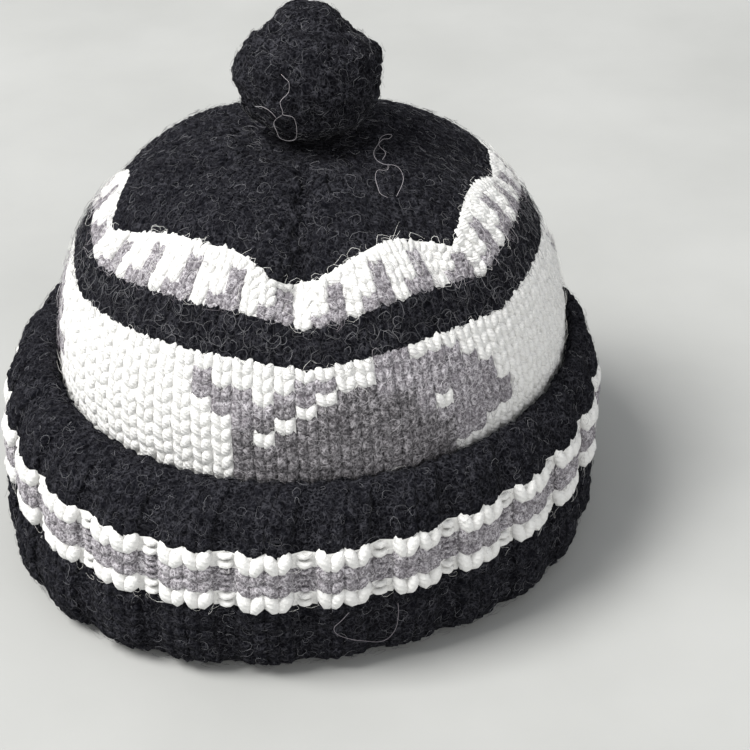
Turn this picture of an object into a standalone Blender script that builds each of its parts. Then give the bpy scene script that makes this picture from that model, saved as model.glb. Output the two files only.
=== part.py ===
"""A knit cap: a domed crown, a turned-up ribbed cuff and a felted pompom.

Metres, +Z up. The cap stands on the fold of its cuff at z = 0, its front faces -Y,
and azimuths are counted in degrees from the front towards +X.
"""
import math

import bmesh
import bpy
from mathutils import Vector

MM = 0.001

# The cuff: one layer of ribbing, folded outwards and up at the mouth of the cap
CUFF_RADIUS = 97.0 * MM          # to the tops of the ribs, at half the cuff's height
CUFF_OVAL = 2.8 * MM             # how far the soft outline is drawn out to an oval
CUFF_OVAL_AZIMUTH = -16.0        # where the oval's long axis points
CUFF_LOBE = 1.5 * MM             # a three-sided slump on top of the oval
CUFF_LOBE_AZIMUTH = -36.0
CUFF_WALL = 7.0 * MM             # thickness of the ribbing
CUFF_HOLLOW = 4.0 * MM           # air between the cuff and the crown's foot
FOLD_THICK = 8.0 * MM            # height of the fold under the crown's foot
RIBS = 27                        # two knit columns and one purl column each
RIB_DEPTH = 2.6 * MM             # how far a purl column lies behind the knit ones
RIB_NARROWING = 1.5              # above 1 the grooves are narrower than the ribs
STEPS_PER_RIB = 4

# The crown: one layer of plain knitting, from its foot in the fold up over the head
CROWN_WALL = 6.0 * MM
CROWN_RADIUS = 79.2 * MM         # at the height where the dome starts
CROWN_OVAL = 2.5 * MM
CROWN_OVAL_AZIMUTH = -41.0
CROWN_SHIFT = 5.4 * MM           # the crown slumps to +X of the cuff's middle
CROWN_SHIFT_TOP = 2.8 * MM       # and its peak leans back over it
NECK_HEIGHT = 59.5 * MM          # where the cuff's lip lies against the crown
DOME_START = 62.5 * MM
DOME_TOP = 131.5 * MM
DOME_FULLNESS = 0.92             # 1 is an ellipse, less is fuller
CROWN_STEPS = 81                 # one for each column of stitches
GORE_AZIMUTHS = (-61.0, -1.0, 38.0, 95.0, 150.0, 205.0, 250.0)   # the lines of decreases
GORE_PUFF = 3.2 * MM             # how far the cloth swells between those lines
GORE_FLATNESS = 0.7              # below 1 a swell has a flat top and steep sides
GORE_LEVEL = 0.6                 # the swell that lies on the plain dome
GORE_CLIMB = (15.0, 50.0)        # the climb where the lines start and are deepest

# The pompom: short tufts, felted to a dense ball, tied to the crown's peak
POMPOM_WIDTH = 45.0 * MM
POMPOM_HEIGHT = 40.0 * MM
POMPOM_LEAN = 2.0 * MM           # its middle lies this far to +X of the peak
TUFTS = 96
TUFT_DEPTH = 2.2 * MM            # how far the tufts stand out of the ball
TUFT_TAPER = 0.42                # 0 is a straight tuft, 1 ends in a point
TUFT_UNEVENNESS = 0.03           # every third tuft is shorter by this share, and twice this
SEAT_RADIUS = 11.0 * MM          # the tied, flattened spot at the crown's peak
SEAT_DROP = 3.6 * MM             # how far the pompom presses it in

GAP = 0.4 * MM                   # between neighbouring pieces
SHARP_ANGLE = 40.0               # edges that turn by more than this stay sharp

# The cuff's cross-section, from its inner edge on the floor out, up and over the lip,
# then down behind it to the fold. share runs from 0 on the crown to 1 on the cuff's
# outline, inset is measured inwards from there, and rib is the part of the rib's depth.
CUFF_SECTION = (
    # share, inset, height, rib
    (1.00, 17.3, 0.0, 0.0),
    (1.00, 12.5, 0.0, 0.0),
    (1.00, 9.0, 0.0, 0.3),
    (1.00, 4.2, 3.0, 0.8),
    (1.00, 1.1, 8.5, 1.0),
    (1.00, 0.2, 17.0, 1.0),
    (1.00, 0.0, 28.0, 1.0),
    (1.00, 0.0, 39.0, 1.0),
    (0.93, 0.0, 49.0, 1.0),
    (0.74, 0.0, 57.0, 1.0),
    (0.46, 0.0, 61.4, 0.8),
    (0.18, 0.0, 62.5, 0.4),
    (0.00, 0.0, 59.5, 0.0),
    (0.12, 0.0, 55.2, 0.0),
    (1.00, 8.6, 47.0, 0.0),
    (1.00, 7.0, 38.0, 0.0),
    (1.00, 7.0, 16.0, 0.0),
    (1.00, 8.4, 10.0, 0.0),
    (1.00, 10.6, 8.0, 0.0),
    (1.00, 17.3, 8.0, 0.0),
)

# The dome's rings, as angles of climb in degrees, outside and inside
DOME_CLIMB_OUTSIDE = (7, 15, 23, 31, 39, 47, 55, 62, 69, 75)
DOME_CLIMB_INSIDE = (68, 56, 44, 32, 20, 8)
SKIRT_HEIGHTS = (20.0, 34.0, 47.0, 59.5)   # the crown's rings below the dome, in mm

# Colour and roughness of each piece
FINISH = {
    "crown": ((0.55, 0.54, 0.55), 0.95),
    "cuff": ((0.02, 0.02, 0.025), 0.95),
    "pompom": ((0.02, 0.02, 0.025), 0.95),
}


def blend(low, high, share):
    """A value on the way from low to high."""
    return low + (high - low) * share


def smooth(low, high, value):
    """0 below low, 1 above high and an S-shaped rise between them."""
    share = min(1.0, max(0.0, (value - low) / (high - low)))
    return share * share * (3.0 - 2.0 * share)


def outward(azimuth):
    """The level direction away from the cap's axis at an azimuth."""
    turn = math.radians(azimuth)
    return Vector((math.sin(turn), -math.cos(turn), 0.0))


def cuff_radius(azimuth):
    """The cuff's outline: a circle, slumped to an oval with three faint lobes."""
    oval = CUFF_OVAL * math.cos(2 * math.radians(azimuth - CUFF_OVAL_AZIMUTH))
    lobe = CUFF_LOBE * math.cos(3 * math.radians(azimuth - CUFF_LOBE_AZIMUTH))
    return CUFF_RADIUS + oval + lobe


def cuff_outline(azimuth):
    """A point of the cuff's outline, at the tops of the ribs."""
    return outward(azimuth) * cuff_radius(azimuth)


def outline_middle():
    """The middle of the cuff's outline box, which becomes the cap's origin."""
    points = [cuff_outline(azimuth) for azimuth in range(360)]
    across = [point.x for point in points]
    along = [point.y for point in points]
    return Vector(((min(across) + max(across)) / 2, (min(along) + max(along)) / 2, 0.0))


def rib_groove(azimuth):
    """How far the ribbing lies behind its outline: a purl column faces the front."""
    turn = (azimuth * RIBS / 360.0) % 1.0
    return RIB_DEPTH * max(0.0, math.cos(2 * math.pi * turn)) ** RIB_NARROWING


def gore_swell(azimuth):
    """0 on a line of decreases, 1 half-way between two of them."""
    lines = sorted(line % 360.0 for line in GORE_AZIMUTHS)
    lines.append(lines[0] + 360.0)
    turn = azimuth % 360.0
    if turn < lines[0]:
        turn += 360.0
    for low, high in zip(lines, lines[1:]):
        if low <= turn <= high:
            return math.sin(math.pi * (turn - low) / (high - low)) ** GORE_FLATNESS
    return 0.0


def crown_skirt(azimuth, height, inset):
    """A point of the crown below its dome, between the fold's shape and the dome's."""
    foot = outward(azimuth) * (cuff_radius(azimuth) - CUFF_WALL - CUFF_HOLLOW - inset)
    neck = dome_point(azimuth, 0.0, inset)
    share = smooth(FOLD_THICK, NECK_HEIGHT, height)
    point = foot.lerp(Vector((neck.x, neck.y, 0.0)), share)
    return Vector((point.x, point.y, height))


def dome_point(azimuth, climb, inset):
    """A point of the dome, at an angle of climb in degrees from its start to its top."""
    rise = math.sin(math.radians(climb)) ** DOME_FULLNESS
    spread = math.cos(math.radians(climb)) ** DOME_FULLNESS
    oval = CROWN_OVAL * math.cos(2 * math.radians(azimuth - CROWN_OVAL_AZIMUTH))
    swell = GORE_PUFF * smooth(*GORE_CLIMB, climb) * (gore_swell(azimuth) - GORE_LEVEL)
    radius = (CROWN_RADIUS + oval - inset) * spread + swell * spread
    height = DOME_START + (DOME_TOP - DOME_START - inset) * rise + swell * rise * spread
    middle = Vector((blend(CROWN_SHIFT, CROWN_SHIFT_TOP, rise), 0.0, height))
    return middle + outward(azimuth) * radius


def seat_middle():
    """The middle of the spot where the pompom is tied."""
    return Vector((CROWN_SHIFT_TOP, 0.0, DOME_TOP - SEAT_DROP))


def turns(count):
    """Azimuths spaced evenly round the cap."""
    return [360.0 * index / count for index in range(count)]


def skin(mesh, rings, closed):
    """Joins rings of vertices by four-sided faces, the last to the first if closed."""
    pairs = list(zip(rings, rings[1:]))
    if closed:
        pairs.append((rings[-1], rings[0]))
    for low, high in pairs:
        count = len(low)
        for index in range(count):
            after = (index + 1) % count
            mesh.faces.new((low[index], low[after], high[after], high[index]))


def fan(mesh, ring, point):
    """Closes a ring with triangles that meet in a point."""
    middle = mesh.verts.new(point)
    for index, vertex in enumerate(ring):
        mesh.faces.new((vertex, ring[(index + 1) % len(ring)], middle))


def finish_object(mesh, name, shift):
    """Turns a bmesh into a named object with its own material."""
    bmesh.ops.translate(mesh, verts=mesh.verts, vec=shift)
    bmesh.ops.recalc_face_normals(mesh, faces=mesh.faces)
    data = bpy.data.meshes.new(name)
    mesh.to_mesh(data)
    mesh.free()
    data.shade_smooth()
    data.set_sharp_from_angle(angle=math.radians(SHARP_ANGLE))
    data.materials.append(wool(name))
    piece = bpy.data.objects.new(name, data)
    bpy.context.scene.collection.objects.link(piece)
    return piece


def wool(name):
    """A plain wool material in a piece's colour."""
    colour, roughness = FINISH[name]
    material = bpy.data.materials.new(name + "_wool")
    material.use_nodes = True
    surface = material.node_tree.nodes["Principled BSDF"]
    surface.inputs["Base Color"].default_value = (*colour, 1.0)
    surface.inputs["Roughness"].default_value = roughness
    surface.inputs["Metallic"].default_value = 0.0
    return material


def make_cuff(shift):
    """The turned-up band: its section swept round the mouth, with 27 ribs outside."""
    mesh = bmesh.new()
    azimuths = turns(RIBS * STEPS_PER_RIB)
    rings = []
    for share, inset, height, rib in CUFF_SECTION:
        ring = []
        for azimuth in azimuths:
            out = outward(azimuth)
            crown = crown_skirt(azimuth, height * MM, 0.0) + out * GAP
            edge = cuff_outline(azimuth)
            point = Vector((crown.x, crown.y, 0.0)).lerp(edge, share)
            point -= out * (inset * MM + rib * rib_groove(azimuth))
            point.z = height * MM
            ring.append(mesh.verts.new(point))
        rings.append(ring)
    skin(mesh, rings, closed=True)
    return finish_object(mesh, "cuff", shift)


def make_crown(shift):
    """The hollow crown: skirt and dome outside, the seat of the pompom, then inside."""
    mesh = bmesh.new()
    azimuths = turns(CROWN_STEPS)
    foot = FOLD_THICK + GAP

    def ring(place):
        return [mesh.verts.new(place(azimuth)) for azimuth in azimuths]

    rings = []
    for height in (foot, *(level * MM for level in SKIRT_HEIGHTS)):
        rings.append(ring(lambda azimuth: crown_skirt(azimuth, height, 0.0)))
    for climb in DOME_CLIMB_OUTSIDE:
        rings.append(ring(lambda azimuth: dome_point(azimuth, climb, 0.0)))
    rings.append(ring(lambda azimuth: seat_middle() + outward(azimuth) * SEAT_RADIUS))
    fan(mesh, rings[-1], seat_middle())

    inner = []
    for climb in DOME_CLIMB_INSIDE:
        inner.append(ring(lambda azimuth: dome_point(azimuth, climb, CROWN_WALL)))
    for height in (*(level * MM for level in reversed(SKIRT_HEIGHTS)), foot):
        inner.append(ring(lambda azimuth: crown_skirt(azimuth, height, CROWN_WALL)))
    ceiling = seat_middle()
    ceiling.z -= CROWN_WALL
    fan(mesh, inner[0], ceiling)
    skin(mesh, rings, closed=False)
    skin(mesh, inner, closed=False)
    skin(mesh, [inner[-1], rings[0]], closed=False)
    return finish_object(mesh, "crown", shift)


def tuft_places():
    """Directions of the tufts, spread over the ball along a spiral."""
    golden = math.pi * (3.0 - math.sqrt(5.0))
    places = []
    for index in range(TUFTS):
        height = 1.0 - 2.0 * (index + 0.5) / TUFTS
        reach = math.sqrt(1.0 - height * height)
        turn = golden * index
        places.append(Vector((reach * math.cos(turn), reach * math.sin(turn), height)))
    return places


def tuft_rings(places):
    """For each tuft, the corners that it shares with its neighbours, in order."""
    hull = bmesh.new()
    for place in places:
        hull.verts.new(place)
    bmesh.ops.convex_hull(hull, input=hull.verts)
    hull.verts.index_update()
    hull.faces.index_update()
    corners = [face.calc_center_median().normalized() for face in hull.faces]
    rings = []
    for vertex in hull.verts:
        side = vertex.co.orthogonal().normalized()
        other = vertex.co.cross(side)
        touching = [face.index for face in vertex.link_faces]
        touching.sort(key=lambda face: math.atan2(corners[face] @ other, corners[face] @ side))
        rings.append((vertex.co.copy(), touching))
    hull.free()
    return corners, rings


def make_pompom(shift):
    """A ball of tufts: each stands out of its ring of corners and ends in a blunt tip."""
    mesh = bmesh.new()
    floor = seat_middle().z + GAP
    middle = seat_middle() + Vector((POMPOM_LEAN, 0.0, GAP + POMPOM_HEIGHT / 2))
    size = Vector((POMPOM_WIDTH / 2, POMPOM_WIDTH / 2, POMPOM_HEIGHT / 2))
    root = 1.0 - TUFT_DEPTH / size.x

    def place(direction, reach):
        point = middle + direction * size * reach
        point.z = max(point.z, floor)
        return mesh.verts.new(point)

    corners, rings = tuft_rings(tuft_places())
    roots = [place(corner, root) for corner in corners]
    for index, (tip, ring) in enumerate(rings):
        length = 1.0 - TUFT_UNEVENNESS * (index % 3)
        sides = [corners[corner].lerp(tip, TUFT_TAPER).normalized() for corner in ring]
        collar = [place(side, length) for side in sides]
        skin(mesh, [[roots[corner] for corner in ring], collar], closed=False)
        mesh.faces.new(collar)
    return finish_object(mesh, "pompom", shift)


def main():
    for piece in list(bpy.data.objects):
        bpy.data.objects.remove(piece, do_unlink=True)
    shift = -outline_middle()
    make_crown(shift)
    make_cuff(shift)
    make_pompom(shift)


main()
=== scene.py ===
# %% [markdown]
# This lesson dresses a plain model of a knit cap: a domed crown with a figure worked
# into it, a ribbed cuff turned up round its foot, and a felted pompom at the peak.
# The model says where every wall lies. A smooth skin with a knit picture on it could
# stand for the wool, but its edge would be as smooth as plastic. So each stitch is made
# as two plump legs of yarn, and each loose hair as a thin curled tube.
# The frame is loaded first.

# %% Load the frame
import math
import bpy
import numpy as np
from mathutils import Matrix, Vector


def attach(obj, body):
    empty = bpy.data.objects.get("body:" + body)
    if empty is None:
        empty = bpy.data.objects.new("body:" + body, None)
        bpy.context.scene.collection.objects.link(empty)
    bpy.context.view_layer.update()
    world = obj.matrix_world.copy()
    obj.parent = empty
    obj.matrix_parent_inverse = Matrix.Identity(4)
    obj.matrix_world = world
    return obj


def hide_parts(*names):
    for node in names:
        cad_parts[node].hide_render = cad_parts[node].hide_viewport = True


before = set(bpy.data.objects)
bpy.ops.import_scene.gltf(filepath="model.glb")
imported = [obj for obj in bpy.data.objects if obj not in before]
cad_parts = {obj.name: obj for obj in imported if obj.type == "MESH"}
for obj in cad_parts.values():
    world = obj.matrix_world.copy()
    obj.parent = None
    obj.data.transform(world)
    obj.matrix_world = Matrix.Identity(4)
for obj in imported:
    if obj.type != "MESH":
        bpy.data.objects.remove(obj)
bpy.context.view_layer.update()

# %% [markdown]
# The cap's form follows from a few sizes. Azimuths are degrees from the front, growing
# to the right. The cuff is a slightly slumped circle, and the crown is a dome that
# leans a little, with seven lines of decreases. The sizes are those of the solids, so
# that the wool lies where they are.

# %% Sizes of the solids
MM = 0.001
CUFF_RADIUS = 97.0 * MM
CUFF_OVAL, CUFF_OVAL_AZIMUTH = 2.8 * MM, -16.0
CUFF_LOBE, CUFF_LOBE_AZIMUTH = 1.5 * MM, -36.0
CUFF_WALL, CUFF_HOLLOW = 7.0 * MM, 4.0 * MM
FOLD_THICK, NECK_HEIGHT = 8.0 * MM, 59.5 * MM
RIBS, RIB_DEPTH, RIB_NARROWING = 27, 2.6 * MM, 1.5
CROWN_WALL, CROWN_RADIUS = 6.0 * MM, 79.2 * MM
CROWN_OVAL, CROWN_OVAL_AZIMUTH = 2.5 * MM, -41.0
CROWN_SHIFT, CROWN_SHIFT_TOP = 5.4 * MM, 2.8 * MM
DOME_START, DOME_TOP, DOME_FULLNESS = 62.5 * MM, 131.5 * MM, 0.92
GORE_AZIMUTHS = (-61.0, -1.0, 38.0, 95.0, 150.0, 205.0, 250.0)
GORE_PUFF, GORE_FLATNESS, GORE_LEVEL, GORE_CLIMB = 3.2 * MM, 0.7, 0.6, (15.0, 50.0)
SEAT_DROP, SEAT_CLIMB = 3.6 * MM, 75.0
GAP = 0.4 * MM


def blend(low, high, share):
    """A value on the way from low to high."""
    return low + (high - low) * share


def smooth(low, high, value):
    """0 below low, 1 above high and an S-shaped rise between them."""
    share = min(1.0, max(0.0, (value - low) / (high - low)))
    return share * share * (3.0 - 2.0 * share)


def outward(azimuth):
    """The level direction away from the cap's middle."""
    turn = math.radians(azimuth)
    return Vector((math.sin(turn), -math.cos(turn), 0.0))


def cuff_edge(azimuth):
    """A point of the cuff's outline, before the cap is centred."""
    oval = CUFF_OVAL * math.cos(2 * math.radians(azimuth - CUFF_OVAL_AZIMUTH))
    lobe = CUFF_LOBE * math.cos(3 * math.radians(azimuth - CUFF_LOBE_AZIMUTH))
    return outward(azimuth) * (CUFF_RADIUS + oval + lobe)


edges = [cuff_edge(azimuth) for azimuth in range(360)]
MIDDLE = Vector((
    -(min(edge.x for edge in edges) + max(edge.x for edge in edges)) / 2,
    -(min(edge.y for edge in edges) + max(edge.y for edge in edges)) / 2,
    0.0,
))
print("the cap is centred by", [round(value / MM, 3) for value in MIDDLE], "mm")

# %% [markdown]
# The crown is asked for by azimuth and by arc, the length of cloth from the height
# where the dome starts, because rows of stitches are spaced along the cloth. Near a
# line of decreases the rows dip, more and more towards the peak, which draws the
# white band into a V at the front. All rows also lie lower at the back of the cap,
# where the crown is stretched most, so the bands pass out of sight at its sides.

# %% The crown as a surface
DIPS = (
    # azimuth, depth, and width to its left and right, in degrees
    (-66.5, 1.00, 25.0, 32.0),
    (-1.5, 1.00, 20.0, 32.0),
    (50.5, 0.78, 20.0, 22.0),
    (98.0, 0.75, 22.0, 22.0),
    (150.0, 0.60, 22.0, 22.0),
    (200.0, 0.60, 22.0, 22.0),
    (248.0, 0.60, 22.0, 22.0),
)
DIP_ARCS = (18.0, 34.0, 47.2, 64.8, 85.0, 112.0)      # along the cloth, in mm
DIP_DEPTHS = (0.0, 3.0, 4.8, 12.4, 9.0, 0.0)          # of a row there, in mm
DIP_LEAN, LEAN_START, LEAN_END = -3.5, 47.0, 65.0     # the dips drift left on the way up
BACK_MIDDLE, BACK_START, BACK_END = 3.0, 88.0, 117.0  # azimuth, and degrees to either side of it
BACK_ARCS = (-10.0, 34.0, 64.8, 85.0, 112.0)
BACK_DEPTHS = (0.0, 10.0, 14.0, 10.0, 0.0)
CREASE_LOW, CREASE_HIGH = -4.8, -1.2                  # azimuth of the front crease, low and high
CREASE_WIDTH, CREASE_DEPTH = 6.0, 6.0                 # in degrees and mm
CREASE_TURN, CREASE_START = (58.0, 76.0), (50.0, 62.0)  # arcs where it moves over, and deepens
DIP_SHARPNESS = 1.7                                   # above 1, the dips end in sharper points


def past(azimuth, line):
    """Degrees from a line to an azimuth, negative to its left."""
    return (azimuth - line + 180.0) % 360.0 - 180.0


def dip(azimuth, arc):
    """How far a row dips at an azimuth: most on the nearest line, and all over the back."""
    lean = DIP_LEAN * smooth(LEAN_START, LEAN_END, arc / MM)
    most = 0.0
    for line, depth, left, right in DIPS:
        away = past(azimuth, line + lean)
        share = max(0.0, 1.0 - abs(away) / (left if away < 0.0 else right))
        most = max(most, depth * share ** DIP_SHARPNESS)
    back = smooth(BACK_START, BACK_END, abs(past(azimuth, BACK_MIDDLE)))
    lines = float(np.interp(arc / MM, DIP_ARCS, DIP_DEPTHS)) * most
    return (lines + float(np.interp(arc / MM, BACK_ARCS, BACK_DEPTHS)) * back) * MM


def gore_swell(azimuth):
    """0 on a line of decreases, 1 half-way between two of them."""
    lines = sorted(line % 360.0 for line in GORE_AZIMUTHS)
    lines.append(lines[0] + 360.0)
    turn = azimuth % 360.0
    turn += 360.0 if turn < lines[0] else 0.0
    for low, high in zip(lines, lines[1:]):
        if low <= turn <= high:
            return math.sin(math.pi * (turn - low) / (high - low)) ** GORE_FLATNESS
    return 0.0


def dome(azimuth, climb, inset=0.0):
    """A point of the dome, at an angle of climb from its start to its top."""
    rise = math.sin(math.radians(climb)) ** DOME_FULLNESS
    spread = math.cos(math.radians(climb)) ** DOME_FULLNESS
    oval = CROWN_OVAL * math.cos(2 * math.radians(azimuth - CROWN_OVAL_AZIMUTH))
    swell = GORE_PUFF * smooth(*GORE_CLIMB, climb) * (gore_swell(azimuth) - GORE_LEVEL)
    radius = (CROWN_RADIUS + oval - inset) * spread + swell * spread
    height = DOME_START + (DOME_TOP - DOME_START - inset) * rise + swell * rise * spread
    shift = blend(CROWN_SHIFT, CROWN_SHIFT_TOP, rise)
    return MIDDLE + Vector((shift, 0.0, height)) + outward(azimuth) * radius


def skirt(azimuth, height, inset=0.0):
    """A point of the crown below its dome."""
    foot = cuff_edge(azimuth) - outward(azimuth) * (CUFF_WALL + CUFF_HOLLOW + inset)
    point = (foot + MIDDLE).lerp(dome(azimuth, 0.0, inset), smooth(FOLD_THICK, NECK_HEIGHT, height))
    return Vector((point.x, point.y, height))


def arcs_along(points):
    """The length of a line at each of its points."""
    return np.concatenate(([0.0], np.cumsum(np.linalg.norm(np.diff(points, axis=0), axis=1))))


PROFILE_AZIMUTH = 60.0               # where the arc up the dome is measured
climbs = np.linspace(0.0, SEAT_CLIMB, 76)
climb_arcs = arcs_along(np.array([dome(PROFILE_AZIMUTH, climb)[:] for climb in climbs]))
SEAT_ARC = float(climb_arcs[-1])
SEAT = MIDDLE + Vector((CROWN_SHIFT_TOP, 0.0, DOME_TOP - SEAT_DROP))
PEAK_ARC = SEAT_ARC + (dome(PROFILE_AZIMUTH, SEAT_CLIMB) - SEAT).length


def on_crown(azimuth, arc, inset=0.0):
    """A point of the crown, an arc of cloth above the start of the dome."""
    if arc < 0.0:
        return skirt(azimuth, DOME_START + arc, inset)
    if arc < SEAT_ARC:
        return dome(azimuth, float(np.interp(arc, climb_arcs, climbs)), inset)
    share = min(1.0, (arc - SEAT_ARC) / (PEAK_ARC - SEAT_ARC))
    return dome(azimuth, SEAT_CLIMB, inset).lerp(SEAT - Vector((0.0, 0.0, inset)), share)


def crown_row(azimuth, arc):
    """As on_crown, along a row of stitches, which dips at the lines of decreases."""
    line = blend(CREASE_LOW, CREASE_HIGH, smooth(*CREASE_TURN, arc / MM))
    crease = max(0.0, 1.0 - abs(past(azimuth, line)) / CREASE_WIDTH) * smooth(*CREASE_START, arc / MM)
    return on_crown(azimuth, arc - dip(azimuth, arc)) - outward(azimuth) * crease * CREASE_DEPTH * MM


print("cloth from the dome's start to the pompom's seat:", round(SEAT_ARC / MM, 1), "mm")

# %% [markdown]
# The cuff is asked for in the same way: its section runs from the floor out, up and
# over the rolled lip to the crown. The section's few points are joined by a smooth
# curve, and its arc is counted from the middle of the stripe. Soft wool sags where it
# lies on the floor, so the cuff's foot bulges a little here and draws in there.

# %% The cuff as a surface
STRIPE_HEIGHT = 38.0 * MM
CUFF_OUTSIDE = (
    # share, inset, height, rib
    (1.00, 14.5, 0.0, 0.0),
    (1.00, 12.5, 0.0, 0.0),
    (1.00, 9.0, 0.0, 0.3),
    (1.00, 4.2, 3.0, 0.8),
    (1.00, 1.1, 8.5, 1.0),
    (1.00, 0.2, 17.0, 1.0),
    (1.00, 0.0, 28.0, 1.0),
    (1.00, 0.0, 39.0, 1.0),
    (0.93, 0.0, 49.0, 1.0),
    (0.74, 0.0, 57.0, 1.0),
    (0.46, 0.0, 61.4, 0.8),
    (0.18, 0.0, 62.5, 0.4),
    (0.00, 0.0, 59.5, 0.0),
    (0.12, 0.0, 55.2, 0.0),
)
SAGS = ((-52.0, 3.5, 40.0), (5.0, -2.0, 35.0), (52.0, 2.5, 30.0))   # azimuth, mm out, half-width
SAG_LOW, SAG_HIGH = 14.0 * MM, 32.0 * MM


def sag(azimuth, height):
    """How far the foot of the cuff lies outside its plain outline."""
    out = sum(depth * smooth(0.0, 1.0, 1.0 - abs(past(azimuth, line)) / width)
              for line, depth, width in SAGS)
    return out * MM * (1.0 - smooth(SAG_LOW, SAG_HIGH, height))


def through(rows, steps):
    """A smooth curve through the rows of a table, with steps points to each stretch."""
    rows = np.array(rows)
    padded = np.vstack((2 * rows[0] - rows[1], rows, 2 * rows[-1] - rows[-2]))
    points = []
    for before, start, end, after in zip(padded, padded[1:], padded[2:], padded[3:]):
        for step in range(steps):
            t = step / steps
            points.append(0.5 * (
                2 * start
                + (end - before) * t
                + (2 * before - 5 * start + 4 * end - after) * t * t
                + (3 * start - before - 3 * end + after) * t ** 3
            ))
    points.append(rows[-1])
    return np.array(points)


def rib_groove(azimuth):
    """How far the ribbing lies behind its outline: a purl column faces the front."""
    turn = azimuth * RIBS / 360.0
    return RIB_DEPTH * max(0.0, math.cos(2 * math.pi * turn)) ** RIB_NARROWING


def cuff_place(azimuth, share, inset, height, rib):
    """The point of the cuff that a row of its section gives at an azimuth."""
    out = outward(azimuth)
    height = max(0.0, height)
    crown = skirt(azimuth, height * MM) + out * GAP
    point = crown.lerp(cuff_edge(azimuth) + MIDDLE, share)
    point -= out * (inset * MM + rib * rib_groove(azimuth))
    return Vector((point.x, point.y, height * MM))


section = through(CUFF_OUTSIDE, 8)
flat_rib = 180.0 / RIBS
points = np.array([cuff_place(flat_rib, *row)[:] for row in section])
cuff_arcs = arcs_along(points)
rising = points[:, 2][: int(np.argmax(points[:, 2]))]
cuff_arcs -= np.interp(STRIPE_HEIGHT, rising, cuff_arcs[: len(rising)])
CUFF_LOW, CUFF_HIGH = float(cuff_arcs[0]), float(cuff_arcs[-1])


def on_cuff(azimuth, arc):
    """A point of the cuff's outside, an arc of cloth above the middle of its stripe."""
    row = [float(np.interp(arc, cuff_arcs, section[:, column])) for column in range(4)]
    point = cuff_place(azimuth, *row)
    return point + outward(azimuth) * sag(azimuth, point.z)


print("the cuff's cloth runs from", round(CUFF_LOW / MM, 1), "to", round(CUFF_HIGH / MM, 1), "mm")

# %% [markdown]
# Node trees, for shapes and for finishes, are written as plain sums here. One small
# class holds a node's output: adding or multiplying it puts a Math node in its tree,
# and its node method makes any other kind. That keeps a finish readable, where a list
# of nodes and links would hide it.

# %% A helper for node trees
class Socket:
    """An output in a node tree. Arithmetic on it adds Math nodes."""

    def __init__(self, tree, output=None):
        self.tree = tree
        self.output = output

    def node(self, kind, sockets=None, settings=None, give=0):
        """Adds a node: its settings first, then its sockets' values or links."""
        made = self.tree.nodes.new(kind)
        for name, value in (settings or {}).items():
            setattr(made, name, value)
        for name, value in (sockets or {}).items():
            for item in value if isinstance(value, list) else [value]:
                if isinstance(item, Socket):
                    item.into(made.inputs[name])
                else:
                    made.inputs[name].default_value = item
        return Socket(self.tree, made.outputs[give] if len(made.outputs) else None)

    def also(self, give):
        """Another output of the same node."""
        return Socket(self.tree, self.output.node.outputs[give])

    def into(self, entrance):
        """Links this output to another node's socket."""
        self.tree.links.new(self.output, entrance)

    def maths(self, operation, first, second=0.0):
        """A Math node."""
        return self.node("ShaderNodeMath", {0: first, 1: second}, {"operation": operation})

    def __add__(self, other):
        return self.maths("ADD", self, other)

    def __radd__(self, other):
        return self.maths("ADD", other, self)

    def __sub__(self, other):
        return self.maths("SUBTRACT", self, other)

    def __rsub__(self, other):
        return self.maths("SUBTRACT", other, self)

    def __mul__(self, other):
        return self.maths("MULTIPLY", self, other)

    def __rmul__(self, other):
        return self.maths("MULTIPLY", other, self)

    def __pow__(self, other):
        return self.maths("POWER", self, other)

    def __abs__(self):
        return self.maths("ABSOLUTE", self)

    def between(self, low, high):
        """0 where this is below low, 1 above high, even between them."""
        return self.node("ShaderNodeMapRange", {"Value": self, "From Min": low, "From Max": high})


print("node helper ready")

# %% [markdown]
# Wool scatters light: it has no gloss, and its loose fibres catch light at the edge of
# a form. A Principled shader with high roughness and some sheen does that. Up close,
# wool is a tangle of fine pale fibres over dark gaps. Each fibre is drawn where a
# smooth noise passes through its middle value, which gives thin curling lines, and
# three such nets of different size make the tangle. The same nets feed the bump.
# Each stitch also keeps its own coordinates in an attribute called spot: they paint
# shade into the crease between two legs, and they say where the twist of a white yarn runs.

# %% Wool finishes
YARNS = ("black", "charcoal", "grey", "white")


def noise(place, size, detail=1.0, give=0):
    """Cloudy noise whose clouds are about size millimetres across."""
    sockets = {"Vector": place, "Scale": 1.0 / (size * MM), "Detail": detail}
    return place.node("ShaderNodeTexNoise", sockets, {}, give)


def fibre_net(place, size, width):
    """Curling lines, size millimetres apart: 1 in the middle of a fibre, 0 beside it."""
    line = abs(noise(place, size) - 0.5)
    return 1.0 - line.between(0.0, width)


def vector_maths(operation, first, second=None, scale=None):
    """A Vector Math node."""
    sockets = {0: first, 1: second, "Scale": scale}
    sockets = {name: value for name, value in sockets.items() if value is not None}
    return first.node("ShaderNodeVectorMath", sockets, {"operation": operation})


def mix_colour(factor, first, second):
    """Two colours mixed by a factor. Each is a link or three numbers."""
    first, second = [(*colour, 1.0) if isinstance(colour, tuple) else colour
                     for colour in (first, second)]
    return factor.node("ShaderNodeMix", {0: factor, 6: first, 7: second}, {"data_type": "RGBA"}, 2)


def pushed(place, way, amount):
    """A place moved along a way by an amount."""
    return vector_maths("ADD", place, vector_maths("SCALE", way, scale=amount))


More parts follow.
